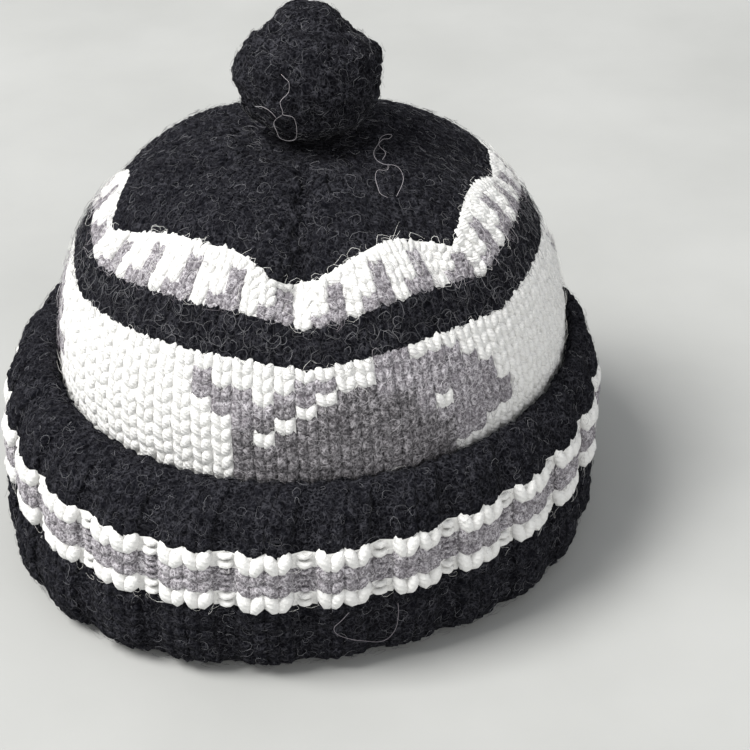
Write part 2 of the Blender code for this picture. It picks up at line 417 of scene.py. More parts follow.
def new_material(name, roughness, gloss):
    """A new material, the inputs of its shader, and a start for its nodes."""
    material = bpy.data.materials.new(name)
    material.use_nodes = True
    surface = material.node_tree.nodes["Principled BSDF"].inputs
    surface["Roughness"].default_value = roughness
    surface["Specular IOR Level"].default_value = gloss
    return material, surface, Socket(material.node_tree)


NETS = ((1.2, 0.055), (2.0, 0.04), (3.1, 0.028))      # size in mm and width of the fibre nets
NET_STRENGTH, PATCHINESS = 0.8, 2.1                   # of a net, and its patches as shares of its size
WARP_SIZE, WARP = 3.0, 1.6 * MM                       # of the clouds that bend the nets
CLOUD_SIZE, MOTTLE_SIZE, HEATHER_SIZE = 1.1, 3.5, 0.8     # in mm
CLOUD_BAND, MOTTLE_BAND = (0.35, 0.65), (0.3, 0.7)    # values that a noise is stretched between
HEATHER_BAND, PATCH_BAND = (0.42, 0.72), (0.35, 0.6)
# The first share is painted shade: the lower a point lies in its stitch, the darker it is.
DEPTH_SHADE_SHARE, CLOUD_SHARE, MOTTLE_SHARE, PLY_SHARE = 0.5, 0.25, 0.25, 0.1   # in the yarn's colour
CLOUD_RELIEF, NET_RELIEF, PLY_RELIEF = 0.6, 0.3, 0.3  # shares in the bump
# Below the first height the painted crease shade is full, and above the second it is gone.
STITCH_CREASE, LEG_BACK = -0.06, 0.17                 # their heights in a stitch
TWIST_ACROSS, TWIST_UP = 2.6, 3.2                     # turns of the twist across a stitch and up it
RIDGE = 0.35 * MM                                     # the height of the bump


def wool(name, crease_shade_and_dark_tone, body, fibre, amount, heather, sheen, bump, plies):
    """A wool finish: a darker colour painted as shade in the creases and as dark patches, the yarn's
    body, and pale fibres on top.
    """
    material, surface, start = new_material(name, 1.0, 0.0)
    place = start.node("ShaderNodeTexCoord", give="Object")
    bent = pushed(place, noise(place, WARP_SIZE, give=1), WARP)
    spot = start.node("ShaderNodeAttribute", {}, {"attribute_name": "spot"}, "Vector")
    across = start.node("ShaderNodeSeparateXYZ", {"Vector": spot}, give="X")
    # Painted shade in the crease between the legs, from each point's depth in its stitch.
    top = across.also("Z").between(STITCH_CREASE, LEG_BACK)
    twist = (across * TWIST_ACROSS + across.also("Y") * TWIST_UP) * (2.0 * math.pi)
    ply = start.node("ShaderNodeMath", {0: twist}, {"operation": "SINE"}) * plies
    cloud = noise(bent, CLOUD_SIZE, 3.0)
    mottle = noise(place, MOTTLE_SIZE, 3.0).between(*MOTTLE_BAND)
    net = noise(bent, HEATHER_SIZE).between(*HEATHER_BAND) * heather
    for size, width in NETS:
        strength = noise(place, PATCHINESS * size).between(*PATCH_BAND)
        net = net + fibre_net(bent, size, width) * strength * NET_STRENGTH
    net = net.between(0.0, 1.0)
    # The darker colour is painted shade in the creases, mixed with dark tone in the clouds and mottle.
    share = top * DEPTH_SHADE_SHARE + cloud.between(*CLOUD_BAND) * CLOUD_SHARE
    share = share + mottle * MOTTLE_SHARE + ply * PLY_SHARE
    ground = mix_colour(share.between(0.0, 1.0), crease_shade_and_dark_tone, body)
    mix_colour(net * amount, ground, fibre).into(surface["Base Color"])
    height = cloud * CLOUD_RELIEF + net * NET_RELIEF + ply * PLY_RELIEF
    ridge = height.node("ShaderNodeBump", {"Height": height, "Strength": bump, "Distance": RIDGE})
    ridge.into(surface["Normal"])
    surface["Sheen Weight"].default_value = sheen
    surface["Sheen Roughness"].default_value = 0.5
    return material


# Each wool gives its darker colour first, painted shade in the creases and dark tone in patches, then
# its body and its fibres.
WOOLS = {
    "black": wool("black_wool", (0.0009, 0.0009, 0.0013), (0.0050, 0.0052, 0.0071),
                  (0.041, 0.041, 0.048),
                  amount=0.85, heather=0.3, sheen=0.01, bump=0.9, plies=0.0),
    "charcoal": wool("charcoal_wool", (0.013, 0.012, 0.013), (0.068, 0.063, 0.068),
                     (0.36, 0.345, 0.36),
                     amount=0.85, heather=0.6, sheen=0.06, bump=1.0, plies=0.2),
    "grey": wool("grey_wool", (0.043, 0.039, 0.044), (0.15, 0.138, 0.152),
                 (0.53, 0.51, 0.535),
                 amount=0.9, heather=0.6, sheen=0.08, bump=1.0, plies=0.2),
    "white": wool("white_wool", (0.63, 0.623, 0.608), (0.69, 0.685, 0.67),
                  (0.76, 0.76, 0.745),
                  amount=0.6, heather=0.6, sheen=0.3, bump=0.85, plies=0.85),
}
print("finishes:", ", ".join(material.name for material in WOOLS.values()))

# %% [markdown]
# Loose hairs are a finish of their own. Each hair has a random shade from dark to
# pale, kept with it as an attribute, so that neighbours differ as real fibres do.

# %% Hair finishes
def hair(name, dark, pale):
    """A plain fibre between two colours, by the hair's own shade."""
    material, surface, start = new_material(name, 0.6, 0.1)
    shade = start.node("ShaderNodeAttribute", {}, {"attribute_name": "shade"}, "Fac")
    mix_colour(shade, dark, pale).into(surface["Base Color"])
    return material


HAIRS = {
    "black": hair("black_wool_hair", (0.012, 0.012, 0.015), (0.27, 0.27, 0.285)),
    "charcoal": hair("charcoal_wool_hair", (0.02, 0.019, 0.021), (0.55, 0.53, 0.55)),
    "grey": hair("grey_wool_hair", (0.16, 0.14, 0.16), (0.75, 0.73, 0.75)),
    "white": hair("white_wool_hair", (0.75, 0.74, 0.71), (0.93, 0.93, 0.91)),
}
print("hairs:", ", ".join(material.name for material in HAIRS.values()))

# %% [markdown]
# A stitch of plain knitting shows as a V: two legs that rise from a low point and lean
# apart. Modelling one V and copying it a few thousand times by hand would be slow, so
# Geometry Nodes put one on each point of a chart. Each point carries the cloth's
# direction outwards, its direction upwards, the stitch's size and the yarn's colour.
# A leg is a curve swept by a small circle that swells in the middle.

# %% The stitch tree
ON_FLOOR = (-1.0, -1.0, 0.0)         # the lowest place that wool may have
MIDDLE_VALUE = (0.5, 0.5, 0.5)       # of a noise
SHOWN, FELTED = {"Sides": 6, "Steps": 6}, {"Sides": 5, "Steps": 4}
STRANDS = {
    # start, middle and end of each strand, as shares of the stitch's width, pitch, depth
    "knit": (((0.08, -0.66, -0.03), (0.25, 0.02, 0.15), (0.35, 0.80, -0.07)),
             ((-0.08, -0.66, -0.03), (-0.25, 0.02, 0.15), (-0.35, 0.80, -0.07))),
    "purl": (((-0.46, 0.42, -0.20), (0.0, -0.05, 0.30), (0.46, 0.42, -0.20)),
             ((-0.46, -0.08, -0.20), (0.0, -0.55, 0.30), (0.46, -0.08, -0.20))),
}
INPUT_KINDS = {"Geometry": "Geometry", "Sides": "Int", "Steps": "Int"}   # the rest are floats
PLUMPNESS = 0.94                     # 1 is a leg that ends in points
SMALLEST, LARGEST = (0.93, 0.94, 0.88), (1.06, 1.06, 1.12)   # of a stitch, at random
LUMP_SIZE = 3.0                      # mm


def new_tree(name, inputs):
    """An empty geometry tree with named inputs. Returns its sockets by name."""
    tree = bpy.data.node_groups.new(name, "GeometryNodeTree")
    for title in inputs:
        kind = "NodeSocket" + INPUT_KINDS.get(title, "Float")
        tree.interface.new_socket(title, in_out="INPUT", socket_type=kind)
    tree.interface.new_socket("Geometry", in_out="OUTPUT", socket_type="NodeSocketGeometry")
    entry = tree.nodes.new("NodeGroupInput")
    return tree, {title: Socket(tree, entry.outputs[title]) for title in inputs}


def attribute(start, name, kind):
    """A named attribute of the geometry, as a field."""
    return start.node("GeometryNodeInputNamedAttribute", {"Name": name}, {"data_type": kind})


def random_value(start, low, high, seed):
    """A random number, or a random vector where low and high are vectors."""
    vector = isinstance(low, tuple)
    first = 0 if vector else 2
    kind = "FLOAT_VECTOR" if vector else "FLOAT"
    sockets = {first: low, first + 1: high, "Seed": seed}
    return start.node("FunctionNodeRandomValue", sockets, {"data_type": kind}, 0 if vector else 1)


def store(geometry, name, value, kind="FLOAT_VECTOR"):
    """Keeps a value with each point of a geometry."""
    sockets = {"Geometry": geometry, "Name": name, "Value": value}
    return geometry.node("GeometryNodeStoreNamedAttribute", sockets,
                         {"data_type": kind, "domain": "POINT"})


def tube(curve, sides, thickness):
    """A tube along a curve, closed at its ends."""
    circle = curve.node("GeometryNodeCurvePrimitiveCircle", {"Resolution": sides, "Radius": 1.0})
    return curve.node("GeometryNodeCurveToMesh", {
        "Curve": curve, "Profile Curve": circle, "Scale": thickness, "Fill Caps": True})


def copies(points, shape, axes, second_axis, spin, size):
    """A shape on each point, its Z along the first axis, spun a little, as real geometry."""
    turn = points.node("FunctionNodeAxesToRotation", axes,
                       {"primary_axis": "Z", "secondary_axis": second_axis})
    turn = points.node("FunctionNodeRotateRotation", {"Rotation": turn, "Rotate By": spin},
                       {"rotation_space": "LOCAL"})
    made = points.node("GeometryNodeInstanceOnPoints", {
        "Points": points, "Instance": shape, "Rotation": turn, "Scale": size})
    return made.node("GeometryNodeRealizeInstances", {"Geometry": made})


def swirl(place, size, detail):
    """Cloudy noise with a direction, even to all sides."""
    return vector_maths("SUBTRACT", noise(place, size, detail, 1), MIDDLE_VALUE)


def moved_to(geometry, place, lowest=ON_FLOOR):
    """A geometry with each point moved to a place, though to none below the lowest."""
    place = vector_maths("MAXIMUM", place, lowest)
    return geometry.node("GeometryNodeSetPosition", {"Geometry": geometry, "Position": place})


def finish_tree(geometry, materials, yarns=YARNS):
    """Smooths the shape, gives each part the material of its yarn and ends the tree."""
    geometry = geometry.node("GeometryNodeSetShadeSmooth", {"Geometry": geometry})
    for title in yarns:
        sockets = {"Geometry": geometry, "Material": materials[title]}
        if len(yarns) > 1:
            yarn = attribute(geometry, "yarn", "INT")
            sockets["Selection"] = yarn.node("ShaderNodeMath", {
                0: yarn, 1: float(YARNS.index(title)), 2: 0.1}, {"operation": "COMPARE"})
        geometry = geometry.node("GeometryNodeSetMaterial", sockets)
    geometry.into(geometry.tree.nodes.new("NodeGroupOutput").inputs["Geometry"])


def stitch_tree(kind):
    """A tree that puts one stitch of a kind on each point of its mesh."""
    tree, entry = new_tree(kind + "_stitches", ("Geometry", "Sides", "Steps", "Thickness",
                                                "Unevenness", "Lumps"))
    start = entry["Geometry"]
    factor = start.node("GeometryNodeSplineParameter", give="Factor")
    swell = (1.0 - (2.0 * factor - 1.0) ** 2.0 * PLUMPNESS) ** 0.5
    legs = []
    for begin, middle, end in STRANDS[kind]:
        legs.append(start.node("GeometryNodeCurveQuadraticBezier", {
            "Resolution": entry["Steps"], "Start": begin, "Middle": middle, "End": end}))
    curves = start.node("GeometryNodeJoinGeometry", {"Geometry": legs})
    place = start.node("GeometryNodeInputPosition")
    stitch = store(tube(curves, entry["Sides"], swell * entry["Thickness"]), "spot", place)
    axes = {"Primary Axis": attribute(start, "out", "FLOAT_VECTOR"),
            "Secondary Axis": attribute(start, "up", "FLOAT_VECTOR")}
    tilt = random_value(start, (-1.0, -1.0, -1.0), (1.0, 1.0, 1.0), seed=3)
    tilt = vector_maths("SCALE", tilt, scale=entry["Unevenness"])
    size = vector_maths("MULTIPLY", attribute(start, "size", "FLOAT_VECTOR"),
                        random_value(start, SMALLEST, LARGEST, seed=5))
    cloth = copies(start, stitch, axes, "Y", tilt, size)
    cloth = moved_to(cloth, pushed(place, swirl(place, LUMP_SIZE, 2.0), entry["Lumps"]))
    finish_tree(cloth, WOOLS)
    return tree


STITCH_TREES = {kind: stitch_tree(kind) for kind in STRANDS}
print("stitch trees:", ", ".join(STITCH_TREES))

# %% [markdown]
# A chart becomes a mesh of points, one for each stitch. The cloth's directions at a
# stitch are found by asking the surface a little to each side of it, which works for
# the crown and the cuff alike. A tree is run by giving it to a modifier, with its
# sizes set by the sockets' identifiers, and the result is kept as a plain mesh.

# %% From chart to wool
def stitch(surface, azimuth, arc, step, pitch, yarn, sink, flatness=1.0):
    """One stitch: its place, directions out and up, size and yarn."""
    along = surface(azimuth + step / 2, arc) - surface(azimuth - step / 2, arc)
    climb = surface(azimuth, arc + pitch / 2) - surface(azimuth, arc - pitch / 2)
    out = along.cross(climb).normalized()
    up = out.cross(along).normalized()
    size = (along.length, climb.dot(up), along.length * flatness)
    return surface(azimuth, arc) - out * sink, out, up, size, yarn


def keep(mesh, title, kind, domain, values):
    """Keeps a value with each point or face of a mesh."""
    layer = mesh.attributes.new(title, kind, domain)
    layer.data.foreach_set("vector" if kind == "FLOAT_VECTOR" else "value", values)


def chart_mesh(name, stitches):
    """A mesh of loose points that carry what the stitch tree needs."""
    mesh = bpy.data.meshes.new(name)
    mesh.from_pydata([item[0] for item in stitches], [], [])
    for title, column in (("out", 1), ("up", 2), ("size", 3)):
        values = [value for item in stitches for value in item[column]]
        keep(mesh, title, "FLOAT_VECTOR", "POINT", values)
    keep(mesh, "yarn", "INT", "POINT", [YARNS.index(item[4]) for item in stitches])
    return mesh


def put(name, data):
    """A new object in the scene."""
    made = bpy.data.objects.new(name, data)
    bpy.context.scene.collection.objects.link(made)
    return made


def plain(helper, name):
    """What a helper object comes to, as a plain mesh. The helper and its modifiers go."""
    graph = bpy.context.evaluated_depsgraph_get()
    mesh = bpy.data.meshes.new_from_object(
        helper.evaluated_get(graph), preserve_all_data_layers=True, depsgraph=graph)
    helper.modifiers.clear()
    bpy.data.objects.remove(helper)
    mesh.name = name
    print(f"{name}: {sum(len(face.vertices) - 2 for face in mesh.polygons)} triangles")
    return mesh


def grow(tree, source, name, **sizes):
    """Runs a tree on a mesh and returns the result as a plain object."""
    helper = put(name + "_helper", source)
    modifier = helper.modifiers.new("tree", "NODES")
    modifier.node_group = tree
    for item in tree.interface.items_tree:
        if item.in_out == "INPUT" and item.name in sizes:
            modifier[item.identifier] = sizes[item.name]
    return put(name, plain(helper, name))


# %% [markdown]
# The crown has 81 columns, and rows a little over 4 mm high. Its figure repeats three
# times round the cap, 27 stitches each, and is charted below as a knitter would: a
# hash is grey, an at sign is a darker charcoal and a dot is white, with the row under
# the black band first. A zigzag of white and grey, three stitches wide and four rows
# high, runs above that band.

# %% The crown's chart
ROW_PITCH, UPPER_PITCH = 4.3 * MM, 4.4 * MM           # below and above the border
BORDER_ARC = 34.0 * MM               # where the white ground ends and the black band starts
COLUMNS = 81
COLUMN_STEP = 360.0 / COLUMNS
FIRST_COLUMN = -29.0                 # azimuth of the middle of the chart's first column
FIGURE = (
    "..........##...............",
    ".#....##..#####............",
    ".###.##.@@######...........",
    "..###@.@@@@@#####..........",
    "...#@.@@@@@@#.###..........",
    "...@.@@@@@@@@#####.........",
    "...@@@@@@@@@@@####.........",
    "...@@@@@@@@@@@##...........",
    "...@@@@@@@@@@@.............",
    "....@@@@@..@@..............",
)
ZIGZAG = ("wgg", "wwg", "wwg", "www")                 # from its lowest row up
BLACK_ROWS = 3
TOP_ROWS = 10
COLOURS = {"#": "grey", "@": "charcoal", ".": "white", "g": "grey", "w": "white"}


def crown_yarn(row, column):
    """The yarn of a stitch. Rows count up from the border, and down from -1 below it."""
    if row < 0:
        line = FIGURE[min(-1 - row, len(FIGURE) - 1)]
        return COLOURS[line[column % len(line)]]
    if BLACK_ROWS <= row < BLACK_ROWS + len(ZIGZAG):
        return COLOURS[ZIGZAG[row - BLACK_ROWS][column % 3]]
    return "black"


def row_edge(row):
    """The arc of a row's lower edge."""
    return BORDER_ARC + row * (UPPER_PITCH if row > 0 else ROW_PITCH)


def columns_in(row):
    """81 stitches up to the zigzag, then seven fewer in each row."""
    return COLUMNS - len(GORE_AZIMUTHS) * max(0, row - BLACK_ROWS - len(ZIGZAG) + 1)


CROWN_SINK = 1.5 * MM
CROWN_FLATNESS = {"black": 0.68, "charcoal": 0.72, "grey": 0.72, "white": 0.8}


def crown_stitches(rows):
    """The stitches of some rows of the crown."""
    found = []
    for row in rows:
        count = columns_in(row)
        low, high = row_edge(row), row_edge(row + 1)
        for column in range(count):
            azimuth = FIRST_COLUMN + 360.0 * column / count
            yarn = crown_yarn(row, column)
            found.append(stitch(crown_row, azimuth, (low + high) / 2, 360.0 / count,
                                high - low, yarn, CROWN_SINK, CROWN_FLATNESS[yarn]))
    return found


ZIGZAG_TOP = BLACK_ROWS + len(ZIGZAG)
CROWN_TOP = ZIGZAG_TOP + TOP_ROWS
FIGURE_ROWS = range(-len(FIGURE), 0)
ZIGZAG_ROWS = range(BLACK_ROWS, ZIGZAG_TOP)
FELTED_ROWS = [row for row in range(0, CROWN_TOP) if row not in ZIGZAG_ROWS]
crown_pieces = []
for title, rows, detail in (("figure", FIGURE_ROWS, SHOWN), ("zigzag", ZIGZAG_ROWS, SHOWN),
                            ("felted", FELTED_ROWS, FELTED)):
    chart = chart_mesh(title + "_chart", crown_stitches(rows))
    crown_pieces.append(grow(STITCH_TREES["knit"], chart, f"crown_{title}_stitches",
                             Thickness=0.28, Unevenness=0.1, Lumps=1.1 * MM, **detail))

# %% [markdown]
# The cuff is ribbed: two columns of knit stitches, then one of purl that sinks between
# them and shows only the bumps of its loops. The rows run from the floor up the
# outside and over the lip. Four of them make the stripe: white, grey, grey, white. The
# white yarn is plumper than the others, so its rows are higher.

# %% The cuff's chart
CUFF_PITCH = 4.4 * MM
STRIPE_EDGES = (-10.8, -5.2, -1.0, 3.2, 8.8)          # of the stripe's four rows, in mm
RIB_STEP = 360.0 / RIBS
KNIT_PLACES = (0.32, 0.68)           # middles of the knit columns, as shares of a rib
KNIT_STEP = 0.36 * RIB_STEP
PURL_STEP = 0.27 * RIB_STEP
CUFF_SINK = 2.1 * MM
CUFF_FLATNESS = {"black": 0.61, "grey": 0.68, "white": 0.9}
PURL_SINK = {"black": 2.0 * MM, "grey": 1.5 * MM, "white": 1.1 * MM}
STRIPE = {-2: "white", -1: "grey", 0: "grey", 1: "white"}
FOLD_ROWS = range(-9, -2)
STRIPE_ROWS = range(-2, 2)
LIP_ROWS = range(2, 10)


def cuff_edge_arc(row):
    """The arc of a row's lower edge."""
    inside = min(max(row, STRIPE_ROWS.start), STRIPE_ROWS.stop)
    return STRIPE_EDGES[inside - STRIPE_ROWS.start] * MM + (row - inside) * CUFF_PITCH


def cuff_stitches(rows, purl):
    """The purl stitches, or the knit ones, of some rows of the cuff."""
    places, step = ((0.0,), PURL_STEP) if purl else (KNIT_PLACES, KNIT_STEP)
    found = []
    for row in rows:
        low, high = cuff_edge_arc(row), cuff_edge_arc(row + 1)
        yarn = STRIPE.get(row, "black")
        sink, flatness = (PURL_SINK[yarn], 1.0) if purl else (CUFF_SINK, CUFF_FLATNESS[yarn])
        found += [stitch(on_cuff, (rib + place) * RIB_STEP, (low + high) / 2, step,
                         high - low, yarn, sink, flatness)
                  for rib in range(RIBS) for place in places]
    return found


KNIT_YARN = {"Thickness": 0.285, "Unevenness": 0.06, "Lumps": 1.1 * MM}
PURL_YARN = {"Thickness": 0.205, "Unevenness": 0.08, "Lumps": 0.8 * MM}
cuff_pieces = []
for title, rows in (("fold", FOLD_ROWS), ("stripe", STRIPE_ROWS), ("lip", LIP_ROWS)):
    detail = SHOWN if title == "stripe" else FELTED
    for kind, ending, sizes in (("knit", "stitches", KNIT_YARN), ("purl", "purl", PURL_YARN)):
        chart = chart_mesh(f"{title}_{kind}_chart", cuff_stitches(rows, kind == "purl"))
        cuff_pieces.append(grow(STITCH_TREES[kind], chart, f"cuff_{title}_{ending}",
                                **sizes, **detail))

# %% [markdown]
# Behind the stitches lies the cloth itself, a closed wall that shows as the shade
# between the legs and as the plain inside of the cap. It is built as rings of points
# joined by faces, and each face takes the yarn of the stitch in front of it.

# %% The cloth behind the stitches
CROWN_CLOTH_SINK = {"black": 0.85 * MM, "charcoal": 1.0 * MM, "grey": 1.0 * MM, "white": 1.2 * MM}
CUFF_CLOTH_SINK = {"black": 1.2 * MM, "grey": 1.5 * MM, "white": 2.1 * MM}
NEAR = 0.5                           # degrees or mm to each side, to find a surface's direction
ROW_PARTS = (0.0, 0.5)               # each row of stitches has two rings behind it
RIB_POINTS = 8                       # of a ring, to each rib


def sunk(surface, azimuth, arc, depth):
    """A point behind a surface."""
    along = surface(azimuth + NEAR, arc) - surface(azimuth - NEAR, arc)
    climb = surface(azimuth, arc + NEAR * MM) - surface(azimuth, arc - NEAR * MM)
    return surface(azimuth, arc) - along.cross(climb).normalized() * depth


def ring_faces(count, low, high):
    """The faces between two rings of points."""
    return [(low * count + index, low * count + (index + 1) % count,
             high * count + (index + 1) % count, high * count + index) for index in range(count)]


def wall(name, rings, yarns, closed):
    """A mesh of rings joined by faces, with a fan at an end that isn't closed."""
    count = len(rings[0])
    points = [point for ring in rings for point in ring]
    faces = []
    colours = []
    pairs = list(range(len(rings) - 1)) + ([-1] if closed else [])
    for low in pairs:
        faces += ring_faces(count, low % len(rings), (low + 1) % len(rings))
        colours += [yarns(low % len(rings), index) for index in range(count)]
    if not closed:
        for ring, order in ((0, -1), (len(rings) - 1, 1)):
            middle = sum(rings[ring], Vector()) / count
            points.append(middle)
            for index in range(count):
                pair = [ring * count + index, ring * count + (index + 1) % count]
                faces.append((*pair[::order], len(points) - 1))
                colours.append(yarns(ring, index))
    mesh = bpy.data.meshes.new(name)
    mesh.from_pydata(points, [], faces)
    # A wall keeps no spot attribute, so its wool takes more of the painted crease shade than the tops
    # of the stitches do.
    for title in YARNS:
        mesh.materials.append(WOOLS[title])
    mesh.polygons.foreach_set("material_index", [YARNS.index(colour) for colour in colours])
    mesh.shade_smooth()
    return put(name, mesh)


def crown_cloth():
    """The crown's wall: down its inside to the foot, then up its outside to the peak."""
    azimuths = [FIRST_COLUMN + COLUMN_STEP * (index / 2 - 0.5) for index in range(2 * COLUMNS)]
    foot = FOLD_THICK + GAP - DOME_START
    lowest = math.floor((foot - BORDER_ARC) / ROW_PITCH) + 1
    steps = [(row, part) for row in range(lowest, CROWN_TOP) for part in ROW_PARTS]
    arcs = [foot] + [blend(row_edge(row), row_edge(row + 1), part) for row, part in steps]
    lines = [lowest - 1] + [row for row, part in steps]
    rings = [[on_crown(azimuth, arc, CROWN_WALL) for azimuth in azimuths] for arc in reversed(arcs)]
    for arc, row in zip(arcs, lines):
        ring = []
        for index, azimuth in enumerate(azimuths):
            depth = CROWN_CLOTH_SINK[crown_yarn(row, index // 2)]
            ring.append(sunk(crown_row, azimuth, arc, depth))
        rings.append(ring)
    rows = list(reversed(lines))[1:] + lines[:1] + lines
    return wall("crown_cloth", rings, lambda ring, index: crown_yarn(rows[ring], index // 2), False)


INSIDE_SECTION = (
    # share, inset, height, rib: from behind the lip down to the fold, and to its inner edge
    (0.12, 0.0, 55.2, 0.0),
    (1.00, 8.6, 47.0, 0.0),
    (1.00, 7.4, 38.0, 0.0),
    (1.00, 7.4, 16.0, 0.0),
    (1.00, 8.6, 10.0, 0.0),
    (1.00, 10.6, 8.0, 0.0),
    (1.00, 17.3, 8.0, 0.0),
    (1.00, 17.9, 4.0, 0.0),
    (1.00, 17.3, 0.3, 0.0),
)
FADE_LOW, FADE_HIGH = 12.0 * MM, 8.0 * MM    # where the cuff's wall comes out at its ends
CUFF_ROWS = range(FOLD_ROWS.start - 1, LIP_ROWS.stop)


def cuff_cloth():
    """The cuff's wall: its outside behind the stitches, then its inside and fold."""
    azimuths = [index * RIB_STEP / RIB_POINTS for index in range(RIB_POINTS * RIBS)]
    rings = []
    lines = []
    steps = [(row, part) for row in CUFF_ROWS for part in ROW_PARTS]
    for row, part in steps:
        arc = blend(cuff_edge_arc(row), cuff_edge_arc(row + 1), part)
        depth = CUFF_CLOTH_SINK[STRIPE.get(row, "black")]
        depth *= smooth(CUFF_LOW, CUFF_LOW + FADE_LOW, arc)
        depth *= 1.0 - smooth(CUFF_HIGH - FADE_HIGH, CUFF_HIGH, arc)
        ring = [sunk(on_cuff, azimuth, arc, depth) for azimuth in azimuths]
        rings.append([Vector((point.x, point.y, max(point.z, 0.0))) for point in ring])
        lines.append(row)
    for row in INSIDE_SECTION:
        rings.append([cuff_place(azimuth, *row) for azimuth in azimuths])
        lines.append(None)
    return wall("cuff_cloth", rings, lambda ring, index: STRIPE.get(lines[ring], "black"), True)


crown_back = crown_cloth()
cuff_back = cuff_cloth()
print("cloth:", len(crown_back.data.polygons), "and", len(cuff_back.data.polygons), "faces")

# %% [markdown]
# The pompom was tied from short black yarn, trimmed and felted to a dense, lumpy ball.
# It is one ball of fine faces, pushed in and out by broad noise for its lumps and by
# fine noise for its crumbs, drawn to a blunt peak, and pressed flat where it is tied on.

# %% The pompom
POMPOM_WIDTH, POMPOM_HEIGHT, POMPOM_LEAN = 45.0 * MM, 40.0 * MM, 2.0 * MM
BALL_DIVISIONS = 6
PLAIN_REACH = 0.945                  # of the ball, as a share of its half-width
PEAK_WAY, PEAK, SHOULDER = (0.0, 0.35, 0.94), 0.07, 0.09
SHOULDER_BAND, PEAK_BAND = (0.3, 0.72, 1.0), (0.88, 1.0)   # nearness to the peak, 1 on it
BALL_NOISES = ((2.4, 1.0, 1.0), (7.0, 2.0, 0.55), (22.0, 2.0, 0.3))   # scale, detail and share


def pompom_tree():
    """A lumpy ball, pressed flat underneath."""
    tree, entry = new_tree("felted_ball", ("Geometry", "Lumps"))
    start = entry["Geometry"]
    ball = start.node("GeometryNodeMeshIcoSphere", {"Radius": 1.0, "Subdivisions": BALL_DIVISIONS})
    place = start.node("GeometryNodeInputPosition")
    lumps = 0.0
    for scale, detail, share in BALL_NOISES:
        sockets = {"Vector": place, "Scale": scale, "Detail": detail}
        lumps = lumps + (start.node("ShaderNodeTexNoise", sockets) - 0.5) * share
    near = vector_maths("DOT_PRODUCT", place, PEAK_WAY).also("Value")
    low, middle, high = SHOULDER_BAND
    shoulder = near.between(low, middle) * (1.0 - near.between(middle, high)) * SHOULDER
    reach = PLAIN_REACH + near.between(*PEAK_BAND) * PEAK - shoulder + lumps * entry["Lumps"]
    size = (POMPOM_WIDTH / 2, POMPOM_WIDTH / 2, POMPOM_HEIGHT / 2)
    shaped = vector_maths("MULTIPLY", vector_maths("SCALE", place, scale=reach), size)
    centre = SEAT + Vector((POMPOM_LEAN, 0.0, GAP + POMPOM_HEIGHT / 2))
    ball = moved_to(ball, vector_maths("ADD", shaped, tuple(centre)), (-1.0, -1.0, SEAT.z + GAP))
    # The ball keeps no spot attribute, so its wool takes more of the painted crease shade than the
    # tops of the stitches do.
    finish_tree(ball, WOOLS, ("black",))
    return tree


pompom = grow(pompom_tree(), bpy.data.meshes.new("pompom_start"), "pompom_ball", Lumps=0.2)

# %% [markdown]
# Felted wool is hairy all over: short fibres stand out of it, bend over and curl back.
# Geometry Nodes scatter points over the cloth, put a piece of a spiral on each, turn it
# at random and bend it with noise, so that no two are alike. A hair is a tube of three
# sides, which is enough for something a tenth of a millimetre thick.

# %% The hair tree
HAIR_STEPS, HAIR_SIDES = 10, 3       # points to each full turn of a hair, and sides of its tube
HAIR_LIFT = (-1.2, 0.5)              # from the cloth to its root at random, as shares of its height
HAIR_SIZES = (0.4, 1.3)              # at random, as shares of its length
DARKNESS = 2.2                       # above 1, more hairs are dark than pale
HAIR_SPIN = (-0.2, -0.2, -3.14), (0.2, 0.2, 3.14)     # radians: a little lean, and any turn
SPIRAL = {"Start Radius": 0.2, "End Radius": 0.6, "Height": 0.15}
BEND_SIZE = 4.0                      # mm, of the noise that bends them
THINNING = 0.6                       # of the thickness, lost towards both ends


def hair_tree():
    """Curled hairs, scattered over a mesh."""
    tree, entry = new_tree("curled_hairs", ("Geometry", "Density", "Length", "Thickness",
                                            "Height", "Curl", "Turns"))
    start = entry["Geometry"]
    density = entry["Density"] * attribute(start, "hairiness", "FLOAT")
    points = start.node("GeometryNodeDistributePointsOnFaces", {
        "Mesh": start, "Density": density, "Seed": 11}, {"distribute_method": "RANDOM"})
    normal = points.also("Normal")
    lift = random_value(start, *HAIR_LIFT, seed=21) * entry["Height"]
    lift = vector_maths("SCALE", normal, scale=lift)
    points = start.node("GeometryNodeSetPosition", {"Geometry": points, "Offset": lift})
    points = store(points, "rise", normal)
    points = store(points, "shade", random_value(start, 0.0, 1.0, seed=23) ** DARKNESS, "FLOAT")
    spiral = start.node("GeometryNodeCurveSpiral", {
        "Resolution": HAIR_STEPS, "Rotations": entry["Turns"], **SPIRAL})
    spin = random_value(start, *HAIR_SPIN, seed=25)
    size = random_value(start, *HAIR_SIZES, seed=27) * entry["Length"]
    hairs = copies(points, spiral, {"Primary Axis": normal}, "X", spin, size)
    place = start.node("GeometryNodeInputPosition")
    bend = swirl(place, BEND_SIZE, 1.0)
    rise = attribute(start, "rise", "FLOAT_VECTOR")
    stand = vector_maths("DOT_PRODUCT", bend, rise).also("Value")
    bend = vector_maths("SUBTRACT", bend, vector_maths("SCALE", rise, scale=stand))
    hairs = moved_to(hairs, pushed(place, bend, entry["Curl"]))
    factor = start.node("GeometryNodeSplineParameter", give="Factor")
    taper = 1.0 - abs(2.0 * factor - 1.0) * THINNING
    hairs = tube(hairs, HAIR_SIDES, taper * entry["Thickness"])
    finish_tree(hairs, HAIRS)
    return tree


HAIR_TREE = hair_tree()
print("hair tree ready")

